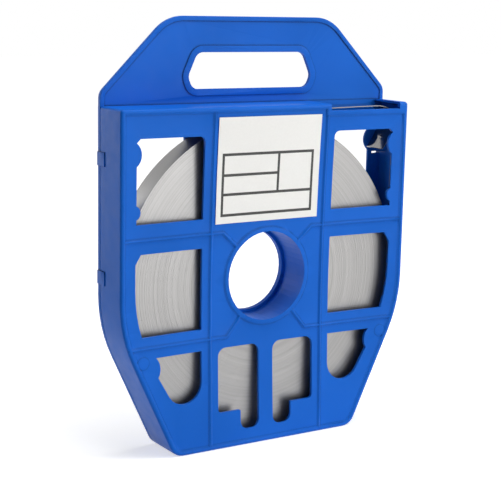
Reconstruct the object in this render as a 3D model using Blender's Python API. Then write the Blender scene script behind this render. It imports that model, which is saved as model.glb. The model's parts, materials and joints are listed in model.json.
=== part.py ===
"""Carry case for a coil of steel banding: two moulded shells, the coil and its free end.

Metres, +X right, +Y away from the viewer of the front, +Z up; the case stands on its flat bottom.
The feature that takes most skill is the dished front panel with its eight windows: it is cut flat,
sliced into a grid and then pressed in by a smooth function that fades out at the rim.
"""
import math

import bmesh
import bpy

# case
CASE_WIDTH = 0.250
TOP_MARGIN = 0.0025
FLOOR_MARGIN = 0.0033
SIDE_MARGIN = 0.0019
SIDE_ANGLE = math.radians(25.2)
WALL = 0.0018
PANEL_THICKNESS = 0.0022
RIM_WIDTH = 0.0033
RIM_SLOPE = 0.0010
RIM_STEP = 0.0012
KNEE_ROUND = 0.110
BOTTOM_ROUND = 0.012
TOP_ROUND = 0.0025
FRONT_ROUND = 0.0018
EDGE_ROUND = 0.0009
DISH = 0.0046
BACK_ROOM = 0.0016
BACK_PANEL = 0.0022
BACK_STEP = 0.0022
BACK_RING = 0.0075

# band and coil
BAND_WIDTH = 0.020
BAND_THICKNESS = 0.0007
COIL_ROOM = 0.0025
COIL_SHIFT = 0.0016
COIL_CLEAR = 0.0004
COIL_BANDS = 9
COIL_STEP = 0.0004
COIL_SEGMENTS = 72
TAIL_START_DEG = 107.0
TAIL_LEAVE_DEG = 99.0
TAIL_DROP = 0.0043
HOOK_DROP = 0.0375
HOOK_SHAPE = (
    (0.667, 0.093), (0.427, 0.113), (0.277, 0.163), (0.188, 0.275), (0.155, 0.440),
    (0.176, 0.613), (0.267, 0.800), (0.419, 1.000),
)

# hub
BORE_RADIUS = 0.0338
HUB_WALL = 0.0022
HUB_CLEAR = 0.0045
LIP_WIDTH = 0.0023
RING_MARGIN = 0.0034

# ribs and windows of the panel, as fractions of half the width or as margins
RIB_WIDTH = 0.0026
RIB_TOP = 0.0011
RIB_RISE = 0.0010
RIB_X_RATIO = 0.395
RIB_UPPER_RATIO = 0.283
RIB_LOWER_RATIO = 0.346
UPPER_BEND_RATIO = 0.314
LOWER_BEND_RATIO = 0.280
WINDOW_BAR = 0.0073
WINDOW_SIDE = 0.0131
WINDOW_TOP = 0.0206
WINDOW_SILL = 0.0111
WINDOW_ROUND = 0.0045
WINDOW_CHAMFER = 0.0029
UPPER_BUMP_RADIUS = 0.0108
UPPER_BUMP_DROP = 0.0112
UPPER_BUMP_DEPTH = 0.0040
LOWER_BUMP_RADIUS = 0.0054
LOWER_BUMP_RISE = 0.0086
LOWER_BUMP_DEPTH = 0.0034
MID_HEAD = 0.0101
MID_SILL = 0.0080
MID_SIDE = 0.0125
MID_CUT = 0.0045
MID_CUT_HEIGHT = 0.0070
LOW_HEAD = 0.0079
LOW_ROUND = 0.0148
LOW_DEPTH = 0.0233
LOW_BUMP_RADIUS = 0.0124
LOW_BUMP_MARGIN = 0.0073
LOW_BUMP_DROP = 0.0087
CENTRE_BAR = 0.0125
CENTRE_SIDE = 0.0070
CENTRE_LEG = 0.0164
CENTRE_FLOOR = 0.0123
CENTRE_STEP = 0.0154
CENTRE_ROUND = 0.0065

# round pads beside the lower windows
PAD_RADIUS = 0.0049
PAD_RISE = 0.0004
PAD_MARGIN = 0.0080
PAD_DROP = 0.0106

# exit slot in the top wall
SLOT_INNER = 0.0023
SLOT_OUTER = 0.0080
SLOT_DROP = 0.0052

# handle
HANDLE_RISE = 0.0632
HANDLE_SHOULDER_RISE = 0.0094
HANDLE_TOP_ROUND = 0.032
HANDLE_SHOULDER_ROUND = 0.009
HANDLE_SETBACK = 0.0011
HANDLE_FIELD = 0.0007
GRIP_HEAD = 0.0260
GRIP_SILL = 0.0106
GRIP_RATIO = 0.372
GRIP_FLARE = 0.0078
GRIP_TUCK = 0.0037
GRIP_SIDE_RISE = 0.0092
GRIP_ROUND = 0.0070
GRIP_RIM = 0.0048

# snap tabs
TAB_HEIGHT = 0.0098
TAB_RATIOS = (0.726, 0.043)
TAB_DEPTH = 0.0075
TAB_PROUD = 0.0007
SLIT_HEIGHT = 0.0017
SLIT_REACH = 0.0094

# label
LABEL_LEFT_MARGIN = 0.0032
LABEL_RIGHT_MARGIN = 0.0059
LABEL_TOP_MARGIN = 0.0075
LABEL_BOTTOM_MARGIN = 0.0068
LABEL_THICKNESS = 0.00025

GAP = 0.0003
REACH = 0.01
LARGE_RADIUS = 0.02
FINE_STEP = 5.0
COARSE_STEP = 15.0
GRID_COUNT = 8
ROUND_SHARES = ((0.0, 1.0), (0.3, 0.3), (1.0, 0.0))

# derived places, heights measured from the hub
HALF = CASE_WIDTH / 2
HUB_HEIGHT = HALF + FLOOR_MARGIN
CASE_TOP = HALF + TOP_MARGIN
SIDE_REACH = HALF + SIDE_MARGIN
COIL_FRONT = RIM_STEP + PANEL_THICKNESS + DISH + COIL_ROOM
CASE_DEPTH = COIL_FRONT + BAND_WIDTH + BACK_ROOM + BACK_PANEL + BACK_STEP
FRONT = -CASE_DEPTH / 2
BACK = CASE_DEPTH / 2
SEAM = BACK - BACK_STEP - BACK_PANEL
PANEL = FRONT + RIM_STEP
PANEL_BACK = PANEL + PANEL_THICKNESS
PLATE_FRONT = SEAM + GAP
HUB_OUTER = BORE_RADIUS + HUB_WALL
RING_RADIUS = BORE_RADIUS + RING_MARGIN
COIL_RADIUS = HALF - WALL - COIL_SHIFT - COIL_CLEAR
COIL_BORE = HUB_OUTER + HUB_CLEAR
COIL_SAG = math.sqrt((HUB_CLEAR - GAP) ** 2 - COIL_SHIFT ** 2)
RIB_X = RIB_X_RATIO * HALF
RIB_UPPER_Z = RIB_UPPER_RATIO * HALF
RIB_LOWER_Z = -RIB_LOWER_RATIO * HALF
WINDOW_INNER_X = RIB_X + WINDOW_BAR
WINDOW_OUTER_X = HALF - WINDOW_SIDE
UPPER_TOP = CASE_TOP - WINDOW_TOP
UPPER_BOTTOM = RIB_UPPER_Z + WINDOW_SILL
MID_TOP = RIB_UPPER_Z - MID_HEAD
MID_BOTTOM = RIB_LOWER_Z + MID_SILL
MID_RADIUS = HALF - MID_SIDE
LOW_TOP = RIB_LOWER_Z - LOW_HEAD
SLOT_LEFT = RIB_X + SLOT_INNER
SLOT_RIGHT = HALF - SLOT_OUTER
SLOT_EDGE = CASE_TOP - SLOT_DROP
HANDLE_TOP = CASE_TOP + HANDLE_RISE
HANDLE_SHOULDER = CASE_TOP + HANDLE_SHOULDER_RISE
HANDLE_BACK = BACK - HANDLE_SETBACK
PAD_Z = RIB_LOWER_Z - PAD_DROP
PAD_X = (SIDE_REACH - PAD_MARGIN + PAD_Z * math.sin(SIDE_ANGLE)) / math.cos(SIDE_ANGLE)
TAB_CENTRES = [ratio * HALF for ratio in TAB_RATIOS]


def clear_scene():
    for item in list(bpy.data.objects):
        bpy.data.objects.remove(item, do_unlink=True)


def material(name, colour, roughness, metallic=0.0):
    made = bpy.data.materials.new(name)
    made.use_nodes = True
    shader = made.node_tree.nodes["Principled BSDF"]
    shader.inputs["Base Color"].default_value = (*colour, 1.0)
    shader.inputs["Roughness"].default_value = roughness
    shader.inputs["Metallic"].default_value = metallic
    return made


def arc(cx, cz, radius, start, end, steps):
    """Points on an arc about (cx, cz), from start to end in degrees."""
    points = []
    for i in range(steps + 1):
        angle = math.radians(start + (end - start) * i / steps)
        points.append((cx + radius * math.cos(angle), cz + radius * math.sin(angle)))
    return points


def rounded(corners):
    """Polygon with its corners (x, z, radius) rounded by tangent arcs, finer on large radii."""
    points = []
    count = len(corners)
    for i, (x, z, radius) in enumerate(corners):
        if radius <= 0.0:
            points.append((x, z))
            continue
        px, pz, _ = corners[i - 1]
        nx, nz, _ = corners[(i + 1) % count]
        ax, az = px - x, pz - z
        bx, bz = nx - x, nz - z
        la, lb = math.hypot(ax, az), math.hypot(bx, bz)
        ax, az, bx, bz = ax / la, az / la, bx / lb, bz / lb
        inside = math.acos(max(-1.0, min(1.0, ax * bx + az * bz)))
        tangent = min(radius / math.tan(inside / 2), 0.49 * la, 0.49 * lb)
        real = tangent * math.tan(inside / 2)
        mx, mz = ax + bx, az + bz
        lm = math.hypot(mx, mz)
        cx = x + mx / lm * real / math.sin(inside / 2)
        cz = z + mz / lm * real / math.sin(inside / 2)
        start = math.atan2(z + az * tangent - cz, x + ax * tangent - cx)
        end = math.atan2(z + bz * tangent - cz, x + bx * tangent - cx)
        turn = (end - start + math.pi) % (2 * math.pi) - math.pi
        step = FINE_STEP if radius > LARGE_RADIUS else COARSE_STEP
        steps = max(2, math.ceil(abs(math.degrees(turn)) / step - 0.01))
        for k in range(steps + 1):
            angle = start + turn * k / steps
            points.append((cx + real * math.cos(angle), cz + real * math.sin(angle)))
    return points


def inset(corners, amount):
    """Convex polygon of corners (x, z, radius), counter-clockwise, each side moved in by amount."""
    count = len(corners)
    lines = []
    for i in range(count):
        x0, z0, _ = corners[i]
        x1, z1, _ = corners[(i + 1) % count]
        length = math.hypot(x1 - x0, z1 - z0)
        nx, nz = -(z1 - z0) / length, (x1 - x0) / length
        lines.append((nx, nz, nx * x0 + nz * z0 + amount))
    moved = []
    for i in range(count):
        a1, b1, c1 = lines[i - 1]
        a2, b2, c2 = lines[i]
        det = a1 * b2 - a2 * b1
        radius = corners[i][2]
        new_radius = max(radius - amount, 0.0006) if radius > 0.0 else 0.0
        moved.append(((c1 * b2 - c2 * b1) / det, (a1 * c2 - a2 * c1) / det, new_radius))
    return moved


def case_corners(top):
    """Upright sides that bend round the coil into straight slants down to the flat bottom."""
    cos, sin = math.cos(SIDE_ANGLE), math.sin(SIDE_ANGLE)
    bottom_x = (SIDE_REACH - HUB_HEIGHT * sin) / cos
    knee_z = -(SIDE_REACH - HALF * cos) / sin
    right = [(bottom_x, -HUB_HEIGHT, BOTTOM_ROUND), (HALF, knee_z, KNEE_ROUND)] + top
    left = [(-x, z, r) for x, z, r in reversed(right)]
    return right + left


def front_corners():
    return case_corners([(HALF, CASE_TOP, TOP_ROUND)])


def handle_top():
    """Right shoulder and upper corner of the handle."""
    reach = HALF - (HANDLE_TOP - HANDLE_SHOULDER)
    return [(HALF, HANDLE_SHOULDER, HANDLE_SHOULDER_ROUND), (reach, HANDLE_TOP, HANDLE_TOP_ROUND)]


def back_corners():
    return case_corners(handle_top())


def handle_field():
    """Field inside the handle's rim, open at the foot where it meets the case's top."""
    foot = (HALF, CASE_TOP, 0.0)
    corners = [foot] + handle_top()
    corners += [(-x, z, r) for x, z, r in reversed(corners)]
    right = [(HALF - RIM_WIDTH, CASE_TOP, 0.0)] + inset(corners, RIM_WIDTH)[1:3]
    return rounded(right + [(-x, z, r) for x, z, r in reversed(right)])


def grip_corners():
    top_x = GRIP_RATIO * HALF
    side_x = top_x + GRIP_FLARE
    low = CASE_TOP + GRIP_SILL
    right = [
        (side_x - GRIP_TUCK, low, GRIP_ROUND),
        (side_x, low + GRIP_SIDE_RISE, GRIP_ROUND),
        (top_x, HANDLE_TOP - GRIP_HEAD, GRIP_ROUND),
    ]
    return right + [(-x, z, r) for x, z, r in reversed(right)]


def bump(edge_x, centre_z, radius, depth, steps):
    """Arc by which a round boss bites into a window's upright side, from its foot up."""
    centre_x = edge_x - depth + radius
    half = math.degrees(math.acos((radius - depth) / radius))
    return [(x, z, 0.0) for x, z in arc(centre_x, centre_z, radius, 180.0 + half, 180.0 - half, steps)]


def upper_window():
    side = WINDOW_OUTER_X
    corners = [(WINDOW_INNER_X, UPPER_BOTTOM, EDGE_ROUND), (side, UPPER_BOTTOM, 0.0)]
    corners += bump(side, UPPER_BOTTOM + LOWER_BUMP_RISE, LOWER_BUMP_RADIUS, LOWER_BUMP_DEPTH, 6)
    corners += bump(side, UPPER_TOP - UPPER_BUMP_DROP, UPPER_BUMP_RADIUS, UPPER_BUMP_DEPTH, 8)
    corners += [(side - WINDOW_CHAMFER, UPPER_TOP, 0.0), (WINDOW_INNER_X, UPPER_TOP, WINDOW_ROUND)]
    return rounded(corners)


def mid_window():
    start = math.degrees(math.asin(MID_BOTTOM / MID_RADIUS))
    corners = [(WINDOW_INNER_X, MID_BOTTOM, EDGE_ROUND)]
    corners += [(x, z, 0.0) for x, z in arc(0.0, 0.0, MID_RADIUS, start, 0.0, 4)]
    corners += [(MID_RADIUS, MID_TOP - MID_CUT_HEIGHT, 0.0), (MID_RADIUS - MID_CUT, MID_TOP, 0.0)]
    corners += [(WINDOW_INNER_X, MID_TOP, EDGE_ROUND)]
    return rounded(corners)


def lower_window():
    """Straight inner side and head, round foot, and a boss biting into the outer side."""
    cos, sin = math.cos(SIDE_ANGLE), math.sin(SIDE_ANGLE)
    boss_z = LOW_TOP - LOW_BUMP_DROP
    boss_x = (SIDE_REACH - LOW_BUMP_MARGIN + boss_z * sin) / cos
    head = math.degrees(math.asin(LOW_BUMP_DROP / LOW_BUMP_RADIUS))
    points = [(WINDOW_INNER_X, LOW_TOP)]
    points += arc(WINDOW_INNER_X + LOW_ROUND, LOW_TOP - LOW_DEPTH, LOW_ROUND, 180.0, 330.0, 10)
    points += arc(boss_x, boss_z, LOW_BUMP_RADIUS, 211.0, 180.0 - head, 6)
    return points


def centre_window():
    inner = CENTRE_BAR / 2
    outer = RIB_X - CENTRE_SIDE
    low = -HUB_HEIGHT + CENTRE_FLOOR
    step = low + CENTRE_STEP
    corners = [
        (inner, low, CENTRE_ROUND),
        (inner + CENTRE_LEG, low, CENTRE_ROUND),
        (inner + CENTRE_LEG, step, EDGE_ROUND),
        (outer, step, CENTRE_ROUND / 2),
        (outer, LOW_TOP, CENTRE_ROUND),
        (inner, LOW_TOP, CENTRE_ROUND),
    ]
    return rounded(corners)


def mirrored(points):
    return [(-x, z) for x, z in reversed(points)]


def windows():
    right = [upper_window(), mid_window(), lower_window(), centre_window()]
    return right + [mirrored(points) for points in right]


def solid(name, sections):
    """Closed solid through sections of (y, points); points are (x, height above the hub)."""
    mesh = bpy.data.meshes.new(name)
    work = bmesh.new()
    rings = []
    for y, points in sections:
        rings.append([work.verts.new((x, y, z + HUB_HEIGHT)) for x, z in points])
    for low, high in zip(rings, rings[1:]):
        count = len(low)
        for i in range(count):
            j = (i + 1) % count
            work.faces.new((low[i], low[j], high[j], high[i]))
    work.faces.new(list(reversed(rings[0])))
    work.faces.new(rings[-1])
    bmesh.ops.recalc_face_normals(work, faces=work.faces)
    work.to_mesh(mesh)
    work.free()
    made = bpy.data.objects.new(name, mesh)
    bpy.context.scene.collection.objects.link(made)
    return made


def prism(name, points, low, high):
    return solid(name, [(low, points), (high, points)])


def circle(radius, steps=48, cx=0.0, cz=0.0):
    return arc(cx, cz, radius, 0.0, 360.0 - 360.0 / steps, steps - 1)


def disc(name, radius, low, high, steps=48):
    return prism(name, circle(radius, steps), low, high)


def apply_boolean(target, other, operation):
    modifier = target.modifiers.new("cut", "BOOLEAN")
    modifier.operation = operation
    modifier.solver = "EXACT"
    modifier.object = other
    bpy.context.view_layer.objects.active = target
    with bpy.context.temp_override(object=target, active_object=target):
        bpy.ops.object.modifier_apply(modifier=modifier.name)
    bpy.data.objects.remove(other, do_unlink=True)


def cut(target, other):
    apply_boolean(target, other, "DIFFERENCE")


def join(target, other):
    apply_boolean(target, other, "UNION")


def box_points(x0, x1, z0, z1):
    return [(x0, z0), (x1, z0), (x1, z1), (x0, z1)]


def dish_amount(x, z):
    """How far the front panel is pressed in at (x, height above the hub)."""
    slant = abs(x) * math.cos(SIDE_ANGLE) - z * math.sin(SIDE_ANGLE)
    across = min(max(abs(x), slant - SIDE_MARGIN) / (HALF - RIM_WIDTH), 1.0)
    up = min(abs(z) / (SLOT_EDGE - RIM_WIDTH), 1.0)
    return DISH * (1.0 - across ** 2) * (1.0 - up ** 2)


def press_in(target, depth_limit, cuts_x, cuts_z):
    """Slice the faces in front of depth_limit into a grid and press them in."""
    work = bmesh.new()
    work.from_mesh(target.data)
    for axis, places in ((0, cuts_x), (2, cuts_z)):
        for place in places:
            point = [0.0, 0.0, 0.0]
            normal = [0.0, 0.0, 0.0]
            point[axis] = place
            normal[axis] = 1.0
            near = [f for f in work.faces if f.calc_center_median().y < depth_limit]
            faces = [f for f in near if abs(f.normal.y) > 0.5]
            edges = {e for f in faces for e in f.edges}
            verts = {v for f in faces for v in f.verts}
            geometry = list(verts) + list(edges) + faces
            bmesh.ops.bisect_plane(work, geom=geometry, plane_co=point, plane_no=normal, dist=1e-5)
    for vert in work.verts:
        if vert.co.y < depth_limit:
            vert.co.y += dish_amount(vert.co.x, vert.co.z - HUB_HEIGHT)
    work.to_mesh(target.data)
    work.free()


def finish(target, used, sharp_deg=35.0):
    """Weld, split long faces into triangles and shade the round parts smooth."""
    work = bmesh.new()
    work.from_mesh(target.data)
    bmesh.ops.remove_doubles(work, verts=work.verts, dist=2e-6)
    bmesh.ops.dissolve_degenerate(work, edges=work.edges, dist=2e-6)
    bmesh.ops.triangulate(work, faces=work.faces)
    bmesh.ops.recalc_face_normals(work, faces=work.faces)
    work.to_mesh(target.data)
    work.free()
    target.data.materials.clear()
    target.data.materials.append(used)
    for polygon in target.data.polygons:
        polygon.use_smooth = True
    target.data.set_sharp_from_angle(angle=math.radians(sharp_deg))


def shell_sections(corners, low, high, low_edge, high_edge):
    """Outline sections from front to back with both outer edges rounded in two steps."""
    front = [(low + depth * low_edge, moved * low_edge) for depth, moved in ROUND_SHARES]
    back = [(high - depth * high_edge, moved * high_edge) for depth, moved in reversed(ROUND_SHARES)]
    return [(y, rounded(inset(corners, amount))) for y, amount in front + back]


def recess_outline(margin):
    """Field inside the raised rim, stepped down under the exit slot."""
    corners = inset(front_corners(), margin)
    right = len(corners) // 2 - 1
    side_x, high, _ = corners[right]
    low = SLOT_EDGE - margin
    inner = SLOT_LEFT - margin
    step = [(side_x, low, EDGE_ROUND), (inner, low, 0.0), (inner, high, 0.0)]
    return rounded(corners[:right] + step + corners[right + 1:])


def ridge(name, wide, narrow):
    """Raised form with sloped flanks, narrow at its top and wide where it stands on the panel."""
    return solid(name, [(PANEL - RIB_RISE, narrow), (PANEL, wide), (PANEL + PANEL_THICKNESS / 2, wide)])


def bent_bar(points, width):
    """Outline of a bar along a bent line, mitred at its bends."""
    runs = [math.atan2(b[1] - a[1], b[0] - a[0]) for a, b in zip(points, points[1:])]
    before = [runs[0]] + runs
    after = runs + [runs[-1]]
    sides = ([], [])
    for (x, z), first, second in zip(points, before, after):
        middle = (first + second) / 2
        reach = width / 2 / math.cos((second - first) / 2)
        ox, oz = -math.sin(middle) * reach, math.cos(middle) * reach
        sides[0].append((x - ox, z - oz))
        sides[1].append((x + ox, z + oz))
    return sides[0] + sides[1][::-1]


def add_ribs(shell):
    """A ring round the hub, two uprights and four level ribs that slant to the ring."""
    rim = (RIB_WIDTH - RIB_TOP) / 4
    join(shell, ridge("ring", circle(RING_RADIUS + rim, 64), circle(RING_RADIUS - rim, 64)))
    margin = RIM_WIDTH / 2
    for side in (-1.0, 1.0):
        x = side * RIB_X
        top = (SLOT_EDGE if side > 0.0 else CASE_TOP) - margin
        lines = [[(x, margin - HUB_HEIGHT), (x, top)]]
        for height, ratio in ((RIB_UPPER_Z, UPPER_BEND_RATIO), (RIB_LOWER_Z, LOWER_BEND_RATIO)):
            bend = ratio * HALF
            reach = HALF - margin
            if height < 0.0:
                reach = (SIDE_REACH - margin + height * math.sin(SIDE_ANGLE)) / math.cos(SIDE_ANGLE)
            inward = (RING_RADIUS - RIB_TOP) / math.hypot(bend, height)
            ends = [side * bend * inward, side * bend, side * reach]
            lines.append([(ends[0], height * inward), (ends[1], height), (ends[2], height)])
        for line in lines:
            join(shell, ridge("rib", bent_bar(line, RIB_WIDTH), bent_bar(line, RIB_TOP)))


def add_pads(shell):
    """Low round pads between the lower windows and the slanted sides."""
    for side in (-1.0, 1.0):
        sections = [
            (PANEL - PAD_RISE, circle(PAD_RADIUS - PAD_RISE, 24, side * PAD_X, PAD_Z)),
            (PANEL, circle(PAD_RADIUS, 24, side * PAD_X, PAD_Z)),
            (PANEL + PANEL_THICKNESS / 2, circle(PAD_RADIUS, 24, side * PAD_X, PAD_Z)),
        ]
        join(shell, solid("pad", sections))


def tab_boxes(inner, grow, low, high):
    """Boxes for the snap tabs of both sides, grown by the given height."""
    boxes = []
    for side in (-1.0, 1.0):
        for height in TAB_CENTRES:
            x0, x1 = sorted((side * inner, side * (HALF + TAB_PROUD + grow)))
            half = TAB_HEIGHT / 2 + grow
            boxes.append(prism("tab", box_points(x0, x1, height - half, height + half), low, high))
    return boxes


def build_front_shell(blue):
    corners = front_corners()
    shell = solid("front_shell", shell_sections(corners, FRONT, SEAM, FRONT_ROUND, EDGE_ROUND / 2))
    cavity = prism("cavity", rounded(inset(corners, WALL)), PANEL_BACK, SEAM + REACH)
    cut(cavity, disc("hub_core", HUB_OUTER, PANEL_BACK - REACH, SEAM + 2 * REACH))
    cut(shell, cavity)
    wide = recess_outline(RIM_WIDTH)
    narrow = recess_outline(RIM_WIDTH + RIM_SLOPE)
    cut(shell, solid("recess", [(FRONT - REACH, wide), (FRONT, wide), (PANEL, narrow)]))
    add_ribs(shell)
    add_pads(shell)
    slot = box_points(SLOT_LEFT, SLOT_RIGHT, SLOT_EDGE, CASE_TOP + REACH)
    cut(shell, prism("exit", slot, FRONT - REACH, SEAM + REACH))
    for index, points in enumerate(windows()):
        cut(shell, prism("window_%d" % index, points, FRONT - REACH, PANEL_BACK + REACH))
    cut(shell, disc("bore", BORE_RADIUS, FRONT - REACH, SEAM + REACH))
    places = [i * HALF / GRID_COUNT for i in range(1 - GRID_COUNT, GRID_COUNT)]
    press_in(shell, PANEL_BACK + GAP, places, [HUB_HEIGHT + place for place in places])
    for notch in tab_boxes(HALF - WALL - REACH, GAP, SEAM - TAB_DEPTH - GAP, SEAM + REACH):
        cut(shell, notch)
    finish(shell, blue)
    return shell


def build_back_shell(blue):
    """Plate that closes the case and rises into the handle, with fields recessed in both faces."""
    sections = shell_sections(back_corners(), PLATE_FRONT, BACK, EDGE_ROUND / 2, EDGE_ROUND)
    shell = solid("back_shell", sections)
    above = box_points(-HALF - REACH, HALF + REACH, CASE_TOP, HANDLE_TOP + REACH)
    cut(shell, prism("setback", above, HANDLE_BACK, BACK + REACH))
    recess = prism("recess", rounded(inset(front_corners(), RIM_WIDTH)), BACK - BACK_STEP, BACK + REACH)
    ring = BORE_RADIUS - LIP_WIDTH + BACK_RING
    cut(recess, disc("ring", ring, BACK - BACK_STEP - REACH, BACK + 2 * REACH))
    cut(shell, recess)
    grip = grip_corners()
    around = rounded(inset(grip, -GRIP_RIM))
    faces = ((PLATE_FRONT - REACH, PLATE_FRONT + HANDLE_FIELD), (HANDLE_BACK - HANDLE_FIELD, BACK + REACH))
    for low, high in faces:
        cutter = prism("field", handle_field(), low, high)
        cut(cutter, prism("around", around, low - REACH, high + REACH))
        cut(shell, cutter)
    cut(shell, prism("grip", rounded(grip), SEAM - REACH, BACK + REACH))
    for index, points in enumerate(windows()):
        cut(shell, prism("window_%d" % index, points, SEAM - REACH, BACK + REACH))
    cut(shell, disc("hole", BORE_RADIUS - LIP_WIDTH, SEAM - REACH, BACK + REACH))
    for side in (-1.0, 1.0):
        for height in TAB_CENTRES:
            x0, x1 = sorted((side * (HALF - SLIT_REACH), side * (HALF - WALL)))
            head = height - TAB_HEIGHT / 2
            slit = box_points(x0, x1, head - SLIT_HEIGHT, head)
            cut(shell, prism("slit", slit, SEAM - REACH, BACK + REACH))
    for tab in tab_boxes(HALF - WALL, 0.0, SEAM - TAB_DEPTH, BACK - EDGE_ROUND):
        join(shell, tab)
    finish(shell, blue)
    return shell


def build_coil(steel):
    """Turned ring: its turns show on both ends as small steps."""
    front = FRONT + COIL_FRONT
    back = front + BAND_WIDTH
    width = (COIL_RADIUS - COIL_BORE) / COIL_BANDS
    ends = []
    for stride in (3, 5):
        profile = []
        for i in range(COIL_BANDS):
            lift = COIL_STEP * ((i * stride) % 4) / 4
            outer = COIL_RADIUS - i * width
            profile += [(outer, lift), (outer - width, lift)]
        ends.append(profile)
    points = [(radius, front + lift) for radius, lift in ends[0]]
    points += [(radius, back - lift) for radius, lift in reversed(ends[1])]
    clean = [point for i, point in enumerate(points) if math.dist(point, points[i - 1]) > GAP / 100]
    mesh = bpy.data.meshes.new("band_coil")
    work = bmesh.new()
    rings = []
    for k in range(COIL_SEGMENTS):
        angle = 2 * math.pi * k / COIL_SEGMENTS
        rings.append([work.verts.new((r * math.cos(angle), y, r * math.sin(angle))) for r, y in clean])
    for k in range(COIL_SEGMENTS):
        low, high = rings[k - 1], rings[k]
        for i in range(len(clean)):
            work.faces.new((low[i - 1], low[i], high[i], high[i - 1]))
    bmesh.ops.recalc_face_normals(work, faces=work.faces)
    work.to_mesh(mesh)
    work.free()
    coil = bpy.data.objects.new("band_coil", mesh)
    bpy.context.scene.collection.objects.link(coil)
    coil.location = (COIL_SHIFT, 0.0, HUB_HEIGHT - COIL_SAG)
    finish(coil, steel)
    return coil


def smooth_line(points, steps):
    """Catmull-Rom line through the points."""
    line = []
    for i in range(len(points) - 1):
        p0 = points[max(i - 1, 0)]
        p1, p2 = points[i], points[i + 1]
        p3 = points[min(i + 2, len(points) - 1)]
        for k in range(steps):
            t = k / steps
            blend = (
                -t ** 3 + 2 * t ** 2 - t,
                3 * t ** 3 - 5 * t ** 2 + 2,
                -3 * t ** 3 + 4 * t ** 2 + t,
                t ** 3 - t ** 2,
            )
            x = sum(b * p[0] for b, p in zip(blend, (p0, p1, p2, p3))) / 2
            z = sum(b * p[1] for b, p in zip(blend, (p0, p1, p2, p3))) / 2
            line.append((x, z))
    line.append(points[-1])
    return line


def tail_path():
    """Middle line of the free end: off the coil, across under the exit slot, round and back in."""
    radius = COIL_RADIUS + GAP + BAND_THICKNESS / 2
    on_coil = arc(COIL_SHIFT, -COIL_SAG, radius, TAIL_START_DEG, TAIL_LEAVE_DEG, 4)
    top = CASE_TOP - TAIL_DROP
    leave_x, leave_z = on_coil[-1]
    reach_x = SLOT_LEFT
    span = reach_x - leave_x
    rise = []
    for k in range(1, 8):
        t = k / 8
        height = (2 * t ** 3 - 3 * t ** 2 + 1) * leave_z + (3 * t ** 2 - 2 * t ** 3) * top
        height += (t ** 3 - 2 * t ** 2 + t) * span * math.tan(math.radians(TAIL_LEAVE_DEG - 90.0))
        rise.append((leave_x + span * t, height))
    hook = [(HALF - x * HOOK_DROP, CASE_TOP - z * HOOK_DROP) for x, z in HOOK_SHAPE]
    return on_coil + rise + smooth_line([(reach_x, top)] + hook, 3)


def build_tail(steel):
    path = tail_path()
    half = BAND_THICKNESS / 2
    upper = []
    lower = []
    for i, (x, z) in enumerate(path):
        px, pz = path[max(i - 1, 0)]
        nx, nz = path[min(i + 1, len(path) - 1)]
        length = math.hypot(nx - px, nz - pz)
        ox, oz = -(nz - pz) / length * half, (nx - px) / length * half
        upper.append((x + ox, z + oz))
        lower.append((x - ox, z - oz))
    front = FRONT + COIL_FRONT
    tail = prism("band_tail", upper + list(reversed(lower)), front, front + BAND_WIDTH)
    finish(tail, steel)
    return tail


def build_label(paper):
    left = -RIB_X + LABEL_LEFT_MARGIN
    right = RIB_X - LABEL_RIGHT_MARGIN
    low = RIB_UPPER_Z + LABEL_BOTTOM_MARGIN
    high = CASE_TOP - LABEL_TOP_MARGIN
    label = prism("label", box_points(left, right, low, high), PANEL - GAP - LABEL_THICKNESS, PANEL - GAP)
    cuts_x = [left + (right - left) * i / 8 for i in range(1, 8)]
    cuts_z = [HUB_HEIGHT + low + (high - low) * i / 8 for i in range(1, 8)]
    press_in(label, PANEL, cuts_x, cuts_z)
    finish(label, paper)
    return label


def main():
    clear_scene()
    blue = material("case_blue", (0.012, 0.135, 0.600), 0.34)
    steel = material("band_steel", (0.560, 0.550, 0.530), 0.32, 1.0)
    paper = material("label_white", (0.830, 0.825, 0.800), 0.55)
    build_front_shell(blue)
    build_back_shell(blue)
    build_coil(steel)
    build_tail(steel)
    build_label(paper)


main()
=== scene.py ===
"""Looks of a carry case holding a coil of flat stainless steel band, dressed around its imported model.

Metres, +X right, +Y to the back, +Z up. Every new piece is a grid or a profile carried along a path,
worked out as whole arrays, and every material is made of nodes.
"""

import json
import math

import bmesh
import bpy
import numpy as np
from mathutils import Matrix, Vector


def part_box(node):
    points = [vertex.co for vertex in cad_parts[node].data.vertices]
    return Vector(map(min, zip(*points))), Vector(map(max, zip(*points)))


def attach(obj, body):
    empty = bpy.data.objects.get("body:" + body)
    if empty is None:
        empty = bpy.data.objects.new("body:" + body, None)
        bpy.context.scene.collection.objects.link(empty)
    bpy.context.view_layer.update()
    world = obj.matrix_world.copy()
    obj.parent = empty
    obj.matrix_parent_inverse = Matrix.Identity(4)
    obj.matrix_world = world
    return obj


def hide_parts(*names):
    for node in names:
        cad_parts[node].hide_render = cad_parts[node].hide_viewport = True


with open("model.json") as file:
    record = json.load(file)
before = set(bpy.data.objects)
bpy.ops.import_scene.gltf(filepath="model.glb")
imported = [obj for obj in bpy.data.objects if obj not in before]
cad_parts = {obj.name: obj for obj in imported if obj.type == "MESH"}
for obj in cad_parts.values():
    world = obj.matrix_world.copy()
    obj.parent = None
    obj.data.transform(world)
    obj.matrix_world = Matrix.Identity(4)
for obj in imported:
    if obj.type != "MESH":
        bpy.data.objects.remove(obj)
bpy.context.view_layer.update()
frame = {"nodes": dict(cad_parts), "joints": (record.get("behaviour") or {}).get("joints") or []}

bl_info = {
    "name": "Banding Carry Case",
    "version": (1, 0, 0),
    "blender": (4, 5, 0),
    "location": "View3D > Sidebar > Banding Case",
    "description": "Dresses a moulded carry case and its coil of steel band",
    "category": "Object",
}

MM = 0.001

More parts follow.
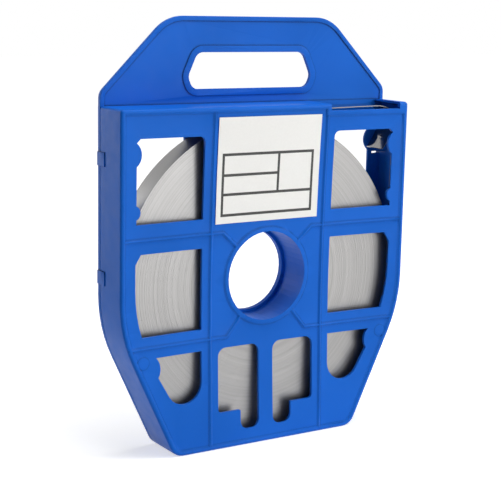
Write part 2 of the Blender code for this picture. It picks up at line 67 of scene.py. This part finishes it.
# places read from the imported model
COIL_AXIS = Vector(frame["joints"][0]["pos_m"])
COIL_LOW, COIL_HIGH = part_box("band_coil")
SHELL_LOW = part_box("front_shell")[0]
LABEL_LOW, LABEL_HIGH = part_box("label")

# sizes that repeat those of the mouldings
GAP = 0.3 * MM
RIM_WIDTH = 3.3 * MM
RIM_STEP = 1.2 * MM
DISH = 4.6 * MM
SIDE_ANGLE = math.radians(25.2)
SIDE_MARGIN = 1.9 * MM
SLOT_DROP = 5.2 * MM
HALF_WIDTH = 125.0 * MM
HUB_HEIGHT = 128.3 * MM
CASE_TOP = 127.5 * MM
LABEL_THICKNESS = 0.25 * MM

# angle from which edges are sharp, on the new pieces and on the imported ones
NEW_SHARP = math.radians(40.0)
PACKED_SHARP = math.radians(32.0)

# the printed layer: its own thickness and the air under it
INK_THICKNESS = 0.035 * MM
INK_LIFT = 0.005 * MM

# where the outer end of the strip starts, seen from the front
COIL_START = math.radians(100.0)
# share of the turns with a wider gap under them, and how much wider it is
OPEN_TURNS = 0.1
OPEN_EXTRA = 0.6

# rounding of the mouldings' edges in the shading, and the width and tone of the shade painted into their
# creases
EDGE_SOFTNESS = 0.15 * MM
PAINTED_SHADE_REACH = 1.5 * MM
PAINTED_CREASE_TONE = 0.25

# floor: half its side, its glow near the case, and where that rises to full white
FLOOR_REACH = 6.0
NEAR_GLOW = 0.6
GLOW_RISE = (0.3, 1.2)
# light of the world on matt surfaces
AMBIENT = 0.04

# soft lamps: name, place, side of the square and power in watts
LAMP_AIM = (0.0, 0.0, 0.14)
LAMPS = (
    ("front_light", (0.5, -1.25, 0.3), 0.6, 5.0),
    ("right_light", (1.3, -0.95, 0.9), 0.5, 11.5),
    ("top_light", (0.1, -0.2, 1.35), 0.9, 12.0),
    ("back_light", (-0.95, 1.3, 0.45), 0.9, 6.5),
)


def linear(code):
    """Linear RGBA of an sRGB hex colour such as #1f66cc."""
    parts = [int(code[i:i + 2], 16) / 255 for i in (1, 3, 5)]
    return tuple(c / 12.92 if c <= 0.04045 else ((c + 0.055) / 1.055) ** 2.4 for c in parts) + (1.0,)


def coil_bore():
    """Inner radius of the coil: the least distance of its points from its axis."""
    mesh = frame["nodes"]["band_coil"].data
    points = np.empty(len(mesh.vertices) * 3)
    mesh.vertices.foreach_get("co", points)
    points = points.reshape(-1, 3) - np.array(COIL_AXIS)
    return float(np.hypot(points[:, 0], points[:, 2]).min())


COIL_RADIUS = (COIL_HIGH.x - COIL_LOW.x) / 2
COIL_BORE = coil_bore()


def add_node(tree, kind, links=None, **settings):
    """Adds a node, sets its properties and sockets, and links the named inputs."""
    node = tree.nodes.new(kind)
    for key, value in settings.items():
        if key in node.inputs:
            node.inputs[key].default_value = value
        else:
            setattr(node, key, value)
    for key, source in (links or {}).items():
        tree.links.new(source, node.inputs[key])
    return node


def new_material(name):
    """A node material with its shader and output; returns (material, tree, shader)."""
    made = bpy.data.materials.new(name)
    made.use_nodes = True
    tree = made.node_tree
    return made, tree, tree.nodes["Principled BSDF"]


def grain(tree, coords, pitch, detail=2.0, stretch=None):
    """Noise whose grains are about pitch metres wide; stretch lengthens them along an axis."""
    vector = coords
    if stretch is not None:
        vector = add_node(tree, "ShaderNodeMapping", {"Vector": coords}, Scale=stretch).outputs["Vector"]
    return add_node(
        tree, "ShaderNodeTexNoise", {"Vector": vector},
        Scale=1.0 / pitch, Detail=detail, Roughness=0.5,
    )


def ranged(tree, value, low, high, start=0.3, end=0.7):
    """Maps a value from start..end to low..high, held at both ends."""
    node = add_node(tree, "ShaderNodeMapRange", {"Value": value})
    node.inputs["From Min"].default_value = start
    node.inputs["From Max"].default_value = end
    node.inputs["To Min"].default_value = low
    node.inputs["To Max"].default_value = high
    return node.outputs["Result"]


def tint(tree, value, low, high):
    """Colour between two colours by a value from 0 to 1."""
    node = add_node(tree, "ShaderNodeMix", {0: value}, data_type="RGBA")
    ends = [s for s in node.inputs if s.type == "RGBA"]
    ends[0].default_value = low
    ends[1].default_value = high
    return next(s for s in node.outputs if s.type == "RGBA")


def moulded_plastic(name, colour):
    """Injection moulded polypropylene: satin, fine grain, faint flow clouds, with shade painted darker into
    sharp creases.
    """
    made, tree, shader = new_material(name)
    coords = add_node(tree, "ShaderNodeTexCoord").outputs["Object"]
    clouds = grain(tree, coords, 70 * MM, detail=1.0)
    flow = ranged(tree, clouds.outputs["Fac"], 0.0, 1.0)
    dark = tuple(c * 0.93 for c in colour[:3]) + (1.0,)
    light = tuple(min(c * 1.06 + 0.002, 1.0) for c in colour[:3]) + (1.0,)
    # painted shade: where ambient occlusion finds a crease, the colour is darkened to stand in for the
    # shade that falls there
    crease_occlusion = add_node(tree, "ShaderNodeAmbientOcclusion", samples=6, only_local=True, Distance=PAINTED_SHADE_REACH)
    unshaded_share = ranged(tree, crease_occlusion.outputs["AO"], 0.0, 1.0, 0.65, 0.97)
    plain = tint(tree, flow, dark, light)
    body = add_node(tree, "ShaderNodeMix", {0: unshaded_share, 7: plain}, data_type="RGBA")
    # the painted crease shade is a darker copy of the blue
    body.inputs[6].default_value = tuple(c * PAINTED_CREASE_TONE for c in colour[:3]) + (1.0,)
    tree.links.new(body.outputs[2], shader.inputs["Base Color"])
    rough = grain(tree, coords, 9 * MM, detail=3.0)
    tree.links.new(ranged(tree, rough.outputs["Fac"], 0.36, 0.46), shader.inputs["Roughness"])
    spark = grain(tree, coords, 0.9 * MM, detail=2.0)
    edges = add_node(tree, "ShaderNodeBevel", samples=6, Radius=EDGE_SOFTNESS)
    bump = add_node(
        tree, "ShaderNodeBump", {"Height": spark.outputs["Fac"], "Normal": edges.outputs["Normal"]},
        Strength=0.16, Distance=0.05 * MM,
    )
    tree.links.new(bump.outputs["Normal"], shader.inputs["Normal"])
    shader.inputs["IOR"].default_value = 1.49
    shader.inputs["Specular IOR Level"].default_value = 0.10
    return made


def slit_steel(name, colour, turns_vary):
    """Cold rolled stainless strip: rolling lines along its length and duller slit edges.

    turns_vary gives each turn its own tone from turn_shade, and the coil's outer face a duller finish.
    """
    made, tree, shader = new_material(name)
    strip = add_node(tree, "ShaderNodeUVMap", uv_map="strip").outputs["UV"]
    lines = grain(tree, strip, 1.0 * MM, detail=2.0, stretch=(0.02, 1.0, 1.0))
    clouds = grain(tree, strip, 30 * MM, detail=2.0, stretch=(0.2, 1.0, 1.0))
    low = tuple(c * 0.86 for c in colour[:3]) + (1.0,)
    high = tuple(min(c * 1.08, 1.0) for c in colour[:3]) + (1.0,)
    blend = ranged(tree, lines.outputs["Fac"], 0.0, 1.0)
    if turns_vary:
        turn = add_node(tree, "ShaderNodeAttribute", attribute_name="turn_shade")
        patches = ranged(tree, clouds.outputs["Fac"], 0.7, 1.2)
        blend = add_node(
            tree, "ShaderNodeMath", {0: turn.outputs["Fac"], 1: patches},
            operation="MULTIPLY", use_clamp=True,
        ).outputs["Value"]
    tree.links.new(tint(tree, blend, low, high), shader.inputs["Base Color"])
    facing = add_node(tree, "ShaderNodeNewGeometry").outputs["True Normal"]
    across = add_node(tree, "ShaderNodeSeparateXYZ", {"Vector": facing}).outputs["Y"]
    edge = add_node(tree, "ShaderNodeMath", {0: across}, operation="ABSOLUTE").outputs["Value"]
    sheared = ranged(tree, edge, 0.28 if turns_vary else 0.0, 0.26)
    uneven = ranged(tree, clouds.outputs["Fac"], 0.10, 0.15)
    rough = add_node(tree, "ShaderNodeMath", {0: sheared, 1: uneven}, operation="ADD")
    tree.links.new(rough.outputs["Value"], shader.inputs["Roughness"])
    bump = add_node(
        tree, "ShaderNodeBump", {"Height": lines.outputs["Fac"]}, Strength=0.12, Distance=0.03 * MM
    )
    tree.links.new(bump.outputs["Normal"], shader.inputs["Normal"])
    shader.inputs["Metallic"].default_value = 1.0
    return made


def sticker_paper(name, colour):
    """Coated paper sticker: near white, faint fibre clouds under a satin coat."""
    made, tree, shader = new_material(name)
    coords = add_node(tree, "ShaderNodeTexCoord").outputs["Object"]
    fibres = grain(tree, coords, 1.4 * MM, detail=4.0)
    blend = ranged(tree, fibres.outputs["Fac"], 0.0, 1.0)
    low = tuple(c * 0.97 for c in colour[:3]) + (1.0,)
    tree.links.new(tint(tree, blend, low, colour), shader.inputs["Base Color"])
    bump = add_node(
        tree, "ShaderNodeBump", {"Height": fibres.outputs["Fac"]}, Strength=0.08, Distance=0.02 * MM
    )
    tree.links.new(bump.outputs["Normal"], shader.inputs["Normal"])
    shader.inputs["Roughness"].default_value = 0.5
    return made


def printed_ink(name, colour):
    """Thermal print on paper: soft black, slightly uneven."""
    made, tree, shader = new_material(name)
    coords = add_node(tree, "ShaderNodeTexCoord").outputs["Object"]
    dots = grain(tree, coords, 0.5 * MM, detail=2.0)
    blend = ranged(tree, dots.outputs["Fac"], 0.0, 1.0)
    high = tuple(c * 1.5 + 0.01 for c in colour[:3]) + (1.0,)
    tree.links.new(tint(tree, blend, colour, high), shader.inputs["Base Color"])
    shader.inputs["Roughness"].default_value = 0.6
    return made


def mesh_piece(name, points, faces, material, smooth=True):
    """Mesh object from arrays of points (n, 3) and quads (m, 4)."""
    mesh = bpy.data.meshes.new(name)
    mesh.from_pydata(points.tolist(), [], faces.tolist())
    mesh.materials.append(material)
    mesh.polygons.foreach_set("use_smooth", np.full(len(mesh.polygons), smooth))
    mesh.set_sharp_from_angle(angle=NEW_SHARP)
    mesh.update()
    made = bpy.data.objects.new(name, mesh)
    bpy.context.scene.collection.objects.link(made)
    return made


def tube_faces(stations, ring):
    """Side quads of a profile of ring points carried through stations, without end caps."""
    k, i = np.meshgrid(np.arange(stations - 1), np.arange(ring), indexing="ij")
    j = (i + 1) % ring
    sides = np.stack([k * ring + i, k * ring + j, (k + 1) * ring + j, (k + 1) * ring + i], -1)
    return sides.reshape(-1, 4)


def strip_piece(name, centre, tangent, width, thickness, low, high, material, shade):
    """Flat band: its rectangle, thickness by width, is carried along centre.

    centre and tangent are arrays (n, 2) in the XZ plane; low and high are the y of both edges at each
    station. The normal is the tangent turned by a quarter, and corner = centre +- normal * thickness / 2.
    shade is a value at each station, kept as the point attribute turn_shade.
    """
    count = len(centre)
    normal = np.stack([-tangent[:, 1], tangent[:, 0]], -1)
    out = centre + normal * thickness / 2
    inn = centre - normal * thickness / 2
    corners = [(out, low), (out, high), (inn, high), (inn, low)]
    points = np.stack([np.stack([p[:, 0], y, p[:, 1]], -1) for p, y in corners], 1).reshape(-1, 3)
    faces = tube_faces(count, 4)
    caps = np.array([[3, 2, 1, 0], [count * 4 - 4, count * 4 - 3, count * 4 - 2, count * 4 - 1]])
    faces = np.concatenate([faces, caps])
    made = mesh_piece(name, points, faces, material)
    length = np.concatenate([[0.0], np.cumsum(np.linalg.norm(np.diff(centre, axis=0), axis=1))])
    across = np.array([0.0, width, width + thickness, 2 * width + thickness])
    set_uv(made, np.repeat(length, 4), np.tile(across, count), "strip")
    attribute = made.data.attributes.new("turn_shade", "FLOAT", "POINT")
    attribute.data.foreach_set("value", np.repeat(shade, 4).astype(np.float32))
    return made


def set_uv(piece, u, v, name):
    """UV map of a piece from u and v at its vertices."""
    mesh = piece.data
    layer = mesh.uv_layers.new(name=name)
    loops = np.empty(len(mesh.loops), dtype=np.int64)
    mesh.loops.foreach_get("vertex_index", loops)
    layer.data.foreach_set("uv", np.stack([u[loops], v[loops]], -1).astype(np.float32).ravel())


def dressed_copy(node, name, material):
    """The node's own mesh with its loose triangles merged, shaded smooth up to an angle."""
    mesh = bpy.data.meshes.new(name)
    work = bmesh.new()
    work.from_mesh(frame["nodes"][node].data)
    for layers in (work.loops.layers.float_vector, work.loops.layers.uv):
        for key in layers.keys():
            layers.remove(layers[key])
    bmesh.ops.remove_doubles(work, verts=work.verts, dist=2e-6)
    work.to_mesh(mesh)
    work.free()
    mesh.materials.append(material)
    mesh.polygons.foreach_set("use_smooth", np.full(len(mesh.polygons), True))
    mesh.polygons.foreach_set("material_index", np.zeros(len(mesh.polygons), dtype=np.int32))
    mesh.set_sharp_from_angle(angle=PACKED_SHARP)
    made = bpy.data.objects.new(name, mesh)
    bpy.context.scene.collection.objects.link(made)
    even = made.modifiers.new("even_normals", "WEIGHTED_NORMAL")
    even.mode = "FACE_AREA"
    even.weight = 100
    even.keep_sharp = True
    return made


def dish_amount(x, z):
    """How far the front panel is pressed in: a product of two parabolas, nil at the rim."""
    slant = np.abs(x) * math.cos(SIDE_ANGLE) - z * math.sin(SIDE_ANGLE)
    across = np.minimum(np.maximum(np.abs(x), slant - SIDE_MARGIN) / (HALF_WIDTH - RIM_WIDTH), 1.0)
    up = np.minimum(np.abs(z) / (CASE_TOP - SLOT_DROP - RIM_WIDTH), 1.0)
    return DISH * (1.0 - across ** 2) * (1.0 - up ** 2)


def plate_piece(name, rectangles, front, back, material, step=4 * MM):
    """Closed flat bars on the dished panel: a grid over each rectangle (x0, x1, z0, z1), front and back."""
    points = []
    faces = []
    start = 0
    for x0, x1, z0, z1 in rectangles:
        nx = max(1, math.ceil((x1 - x0) / step)) + 1
        nz = max(1, math.ceil((z1 - z0) / step)) + 1
        x, z = np.meshgrid(np.linspace(x0, x1, nx), np.linspace(z0, z1, nz), indexing="ij")
        dish = dish_amount(x, z)
        for level in (front, back):
            points.append(np.stack([x, dish + level, z + HUB_HEIGHT], -1).reshape(-1, 3))
        i, j = np.meshgrid(np.arange(nx - 1), np.arange(nz - 1), indexing="ij")
        corner = i * nz + j
        cell = np.stack([corner, corner + nz, corner + nz + 1, corner + 1], -1).reshape(-1, 4)
        edge = np.concatenate([
            np.arange(nx) * nz,
            (nx - 1) * nz + np.arange(1, nz),
            np.arange(nx - 2, -1, -1) * nz + nz - 1,
            np.arange(nz - 2, 0, -1),
        ])
        after = np.roll(edge, -1)
        wall = np.stack([edge, edge + nx * nz, after + nx * nz, after], -1)
        faces.append(start + np.concatenate([cell, cell[:, ::-1] + nx * nz, wall]))
        start += 2 * nx * nz
    return mesh_piece(name, np.concatenate(points), np.concatenate(faces), material)


class MouldingSettings(bpy.types.PropertyGroup):
    """Finish of the two moulded shells."""

    blue: bpy.props.FloatVectorProperty(
        name="Blue", description="Colour of the moulded plastic", subtype="COLOR", size=4,
        min=0.0, max=1.0, default=linear("#1063ca"),
    )


class CoilSettings(bpy.types.PropertyGroup):
    """Sizes and finish of the wound band."""

    turns: bpy.props.IntProperty(
        name="Turns", description="Turns of the band round the hub", default=99, min=10, max=200,
    )
    segments: bpy.props.IntProperty(
        name="Segments", description="Straight pieces in one turn", default=112, min=24, max=240,
    )
    thickness: bpy.props.FloatProperty(
        name="Band thickness", description="Thickness of the band", default=0.7 * MM, unit="LENGTH",
    )
    stray: bpy.props.FloatProperty(
        name="Stray", description="How far single turns stand in from the front one", default=0.12 * MM,
        unit="LENGTH",
    )
    steel: bpy.props.FloatVectorProperty(
        name="Steel", description="Colour of the steel", subtype="COLOR", size=4, min=0.0, max=1.0,
        default=linear("#8e8d8c"),
    )


class LabelSettings(bpy.types.PropertyGroup):
    """Paper sticker and its ruled lines."""

    paper: bpy.props.FloatVectorProperty(
        name="Paper", description="Colour of the paper", subtype="COLOR", size=4, min=0.0, max=1.0,
        default=linear("#f1f0ec"),
    )
    ink: bpy.props.FloatVectorProperty(
        name="Ink", description="Colour of the ruled lines", subtype="COLOR", size=4, min=0.0, max=1.0,
        default=linear("#1e1e1d"),
    )
    line: bpy.props.FloatProperty(
        name="Line", description="Width of the ruled lines", default=2.0 * MM, unit="LENGTH",
    )


class StageSettings(bpy.types.PropertyGroup):
    """Camera, floor and lights."""

    camera_place: bpy.props.FloatVectorProperty(
        name="Camera", description="Where the camera stands", subtype="TRANSLATION", unit="LENGTH",
        default=(-0.53594, -0.82673, 0.33058),
    )
    camera_aim: bpy.props.FloatVectorProperty(
        name="Aim", description="Point in the middle of the picture", subtype="TRANSLATION", unit="LENGTH",
        default=(-0.00600, 0.00086, 0.14548),
    )
    camera_roll: bpy.props.FloatProperty(
        name="Roll", description="Turn of the camera about its line of sight", subtype="ANGLE",
        default=math.radians(1.21),
    )
    focal_length: bpy.props.FloatProperty(
        name="Focal length", description="Lens of the camera in millimetres on a 36 mm sensor",
        default=95.30, min=20.0, max=300.0,
    )


class BANDING_OT_shells(bpy.types.Operator):
    """Dress both moulded shells"""

    bl_idname = "banding.shells"
    bl_label = "Shells"

    def execute(self, context):
        blue = moulded_plastic("blue_moulded_polypropylene", tuple(context.scene.moulding_settings.blue))
        for node, name in (("front_shell", "front_moulding"), ("back_shell", "back_moulding")):
            piece = dressed_copy(node, name, blue)
            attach(piece, "case")
            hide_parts(node)
        return {"FINISHED"}


class BANDING_OT_coil(bpy.types.Operator):
    """Wind the band into its coil"""

    bl_idname = "banding.coil"
    bl_label = "Coil"

    def execute(self, context):
        """The strip's middle line is r(u) = outer - thickness * (u + 1/2) - slack(u), u in turns.

        slack grows by a different air gap at each turn, so groups of tight turns show between open ones.
        """
        values = context.scene.coil_settings
        rng = np.random.default_rng(7)
        turns = values.turns
        slack_total = COIL_RADIUS - COIL_BORE - values.thickness * (turns + 1)
        if slack_total <= 0.0:
            raise RuntimeError("the coil has no room for that many turns")
        loose = rng.uniform(0.8, 1.2, turns)
        loose *= 1.0 + OPEN_EXTRA * (rng.uniform(size=turns) > 1.0 - OPEN_TURNS)
        gaps = loose / loose.sum() * slack_total
        slack_at = np.concatenate([[0.0], np.cumsum(gaps)])
        stations = turns * values.segments + 1
        u = np.linspace(0.0, turns, stations)
        radius = COIL_RADIUS - values.thickness * (u + 0.5) - np.interp(u, np.arange(turns + 1), slack_at)
        angle = COIL_START + 2 * math.pi * u
        centre = np.stack([
            COIL_AXIS.x + radius * np.cos(angle),
            COIL_AXIS.z + radius * np.sin(angle),
        ], -1)
        tangent = np.stack([np.sin(angle), -np.cos(angle)], -1)
        knots = np.arange(0.0, turns + 1.01, 0.5)
        stray = np.interp(u, knots, rng.uniform(0.0, values.stray, len(knots)))
        shade = np.interp(u, np.arange(turns + 1), rng.uniform(0.0, 1.0, turns + 1))
        steel = slit_steel("slit_stainless_coil", tuple(values.steel), True)
        width = COIL_HIGH.y - COIL_LOW.y
        piece = strip_piece(
            "wound_band", centre, tangent, width, values.thickness,
            COIL_LOW.y + stray, COIL_HIGH.y - values.stray + stray, steel, shade,
        )
        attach(piece, "coil")
        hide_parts("band_coil")
        return {"FINISHED"}


class BANDING_OT_tail(bpy.types.Operator):
    """Lead the band's free end under the exit slot"""

    bl_idname = "banding.tail"
    bl_label = "Free end"

    def execute(self, context):
        steel = slit_steel("slit_stainless_tail", tuple(context.scene.coil_settings.steel), False)
        piece = dressed_copy("band_tail", "free_end", steel)
        mesh = piece.data
        points = np.empty(len(mesh.vertices) * 3)
        mesh.vertices.foreach_get("co", points)
        points = points.reshape(-1, 3)
        set_uv(piece, points[:, 0], points[:, 1], "strip")
        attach(piece, "case")
        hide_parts("band_tail")
        return {"FINISHED"}


class BANDING_OT_label(bpy.types.Operator):
    """Lay the sticker and its ruled lines on the dished panel"""

    bl_idname = "banding.label"
    bl_label = "Label"

    def execute(self, context):
        values = context.scene.label_settings
        panel = SHELL_LOW.y + RIM_STEP
        low = LABEL_LOW.z - HUB_HEIGHT
        high = LABEL_HIGH.z - HUB_HEIGHT
        paper = sticker_paper("coated_label_paper", tuple(values.paper))
        sheet = plate_piece(
            "label_sheet", [(LABEL_LOW.x, LABEL_HIGH.x, low, high)],
            panel - GAP - LABEL_THICKNESS, panel - GAP, paper,
        )
        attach(sheet, "case")
        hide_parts("label")
        half = values.line / 2
        left, right, top, bottom = -41.2 * MM, 36.9 * MM, 92.8 * MM, 48.3 * MM
        upper_row, lower_row, divider = 77.7 * MM, 63.5 * MM, 6.9 * MM
        lines = [
            (left - half, right + half, top - half, top + half),
            (left - half, right + half, bottom - half, bottom + half),
            (left - half, left + half, bottom + half, top - half),
            (right - half, right + half, bottom + half, top - half),
            (left + half, right - half, lower_row - half, lower_row + half),
            (divider - half, divider + half, lower_row + half, top - half),
            (left + half, divider - half, upper_row - half, upper_row + half),
        ]
        ink = printed_ink("ruled_ink", tuple(values.ink))
        underside = panel - GAP - LABEL_THICKNESS - INK_LIFT
        ruling = plate_piece("label_ruling", lines, underside - INK_THICKNESS, underside, ink)
        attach(ruling, "case")
        return {"FINISHED"}


class BANDING_OT_stage(bpy.types.Operator):
    """Set the camera, the pale floor and the soft lights"""

    bl_idname = "banding.stage"
    bl_label = "Stage"

    def execute(self, context):
        values = context.scene.stage_settings
        place_camera(values)
        pale_floor()
        for name, place, size, power in LAMPS:
            soft_light(name, place, LAMP_AIM, size, power)
        white_world()
        context.scene.view_settings.view_transform = "Standard"
        return {"FINISHED"}


def place_camera(values):
    """Camera looking from its place to its aim, rolled about that line."""
    place = Vector(values.camera_place)
    ahead = (Vector(values.camera_aim) - place).normalized()
    level = ahead.cross(Vector((0.0, 0.0, 1.0))).normalized()
    above = level.cross(ahead)
    right = level * math.cos(values.camera_roll) + above * math.sin(values.camera_roll)
    up = right.cross(ahead)
    camera = bpy.data.cameras.new("camera")
    camera.sensor_width = 36.0
    camera.lens = values.focal_length
    camera.clip_start = 0.01
    made = bpy.data.objects.new("camera", camera)
    made.matrix_world = Matrix.Translation(place) @ Matrix((right, up, -ahead)).transposed().to_4x4()
    bpy.context.scene.collection.objects.link(made)
    bpy.context.scene.camera = made


def soft_light(name, place, aim, size, power):
    """Square area lamp that faces aim."""
    lamp = bpy.data.lights.new(name, "AREA")
    lamp.shape = "SQUARE"
    lamp.size = size
    lamp.energy = power
    made = bpy.data.objects.new(name, lamp)
    made.location = place
    made.rotation_mode = "QUATERNION"
    made.rotation_quaternion = (Vector(aim) - Vector(place)).to_track_quat("-Z", "Y")
    bpy.context.scene.collection.objects.link(made)


def pale_floor():
    """Level floor: white to the eye, with less glow near the case so that its soft shadow shows."""
    corners = np.array([(-1, -1, 0), (1, -1, 0), (1, 1, 0), (-1, 1, 0)])
    made, tree, shader = new_material("pale_floor")
    shader.inputs["Base Color"].default_value = linear("#f2f2f2")
    shader.inputs["Roughness"].default_value = 0.9
    shader.inputs["Specular IOR Level"].default_value = 0.0
    coords = add_node(tree, "ShaderNodeTexCoord").outputs["Object"]
    away = add_node(tree, "ShaderNodeVectorMath", {0: coords}, operation="LENGTH").outputs["Value"]
    in_gloss = add_node(tree, "ShaderNodeLightPath").outputs["Is Glossy Ray"]
    rising = ranged(tree, away, NEAR_GLOW, 1.0, *GLOW_RISE)
    strength = add_node(tree, "ShaderNodeMath", {0: rising, 1: in_gloss}, operation="MAXIMUM")
    glow = add_node(
        tree, "ShaderNodeEmission", {"Strength": strength.outputs["Value"]}, Color=(1.0, 1.0, 1.0, 1.0)
    )
    seen = seen_directly(tree)
    both = add_node(tree, "ShaderNodeAddShader", {0: shader.outputs["BSDF"], 1: glow.outputs["Emission"]})
    mixed = add_node(
        tree, "ShaderNodeMixShader", {0: seen, 1: shader.outputs["BSDF"], 2: both.outputs["Shader"]}
    )
    output = next(n for n in tree.nodes if n.type == "OUTPUT_MATERIAL")
    tree.links.new(mixed.outputs["Shader"], output.inputs["Surface"])
    floor = mesh_piece("floor", corners * FLOOR_REACH, np.array([[0, 1, 2, 3]]), made, smooth=False)


def seen_directly(tree):
    """1 for what the eye sees directly, in a gloss or through glass; 0 for light that falls on things."""
    path = add_node(tree, "ShaderNodeLightPath")
    first = add_node(
        tree, "ShaderNodeMath",
        {0: path.outputs["Is Camera Ray"], 1: path.outputs["Is Glossy Ray"]}, operation="MAXIMUM",
    )
    return add_node(
        tree, "ShaderNodeMath",
        {0: first.outputs["Value"], 1: path.outputs["Is Transmission Ray"]}, operation="MAXIMUM",
    ).outputs["Value"]


def white_world():
    """White to the eye and in gloss, a soft grey glow on matt surfaces."""
    world = bpy.data.worlds.new("studio")
    world.use_nodes = True
    tree = world.node_tree
    ambient = tree.nodes["Background"]
    ambient.inputs["Color"].default_value = linear("#ffffff")
    ambient.inputs["Strength"].default_value = AMBIENT
    backdrop = add_node(tree, "ShaderNodeBackground", Color=(1.0, 1.0, 1.0, 1.0), Strength=1.0)
    mixed = add_node(
        tree, "ShaderNodeMixShader",
        {0: seen_directly(tree), 1: ambient.outputs["Background"], 2: backdrop.outputs["Background"]},
    )
    tree.links.new(mixed.outputs["Shader"], tree.nodes["World Output"].inputs["Surface"])
    bpy.context.scene.world = world


class BANDING_PT_panel(bpy.types.Panel):
    """Lists the pieces and their settings"""

    bl_idname = "BANDING_PT_panel"
    bl_label = "Banding Case"
    bl_space_type = "VIEW_3D"
    bl_region_type = "UI"
    bl_category = "Banding Case"

    def draw(self, context):
        for name, _, operators in SECTIONS:
            box = self.layout.box()
            group = getattr(context.scene, name)
            for key in group.bl_rna.properties.keys():
                if key not in ("rna_type", "name"):
                    box.prop(group, key)
            for operator in operators:
                box.operator(operator.bl_idname)


SECTIONS = (
    ("moulding_settings", MouldingSettings, (BANDING_OT_shells,)),
    ("coil_settings", CoilSettings, (BANDING_OT_coil, BANDING_OT_tail)),
    ("label_settings", LabelSettings, (BANDING_OT_label,)),
    ("stage_settings", StageSettings, (BANDING_OT_stage,)),
)

CLASSES = (
    *(group for _, group, _ in SECTIONS),
    *(operator for _, _, operators in SECTIONS for operator in operators),
    BANDING_PT_panel,
)


def register():
    for cls in CLASSES:
        bpy.utils.register_class(cls)
    for name, group, _ in SECTIONS:
        setattr(bpy.types.Scene, name, bpy.props.PointerProperty(type=group))


def unregister():
    for name, _, _ in SECTIONS:
        delattr(bpy.types.Scene, name)
    for cls in reversed(CLASSES):
        bpy.utils.unregister_class(cls)


def main():
    register()
    bpy.ops.banding.shells()
    bpy.ops.banding.coil()
    bpy.ops.banding.tail()
    bpy.ops.banding.label()
    bpy.ops.banding.stage()


if __name__ == "__main__":
    main()
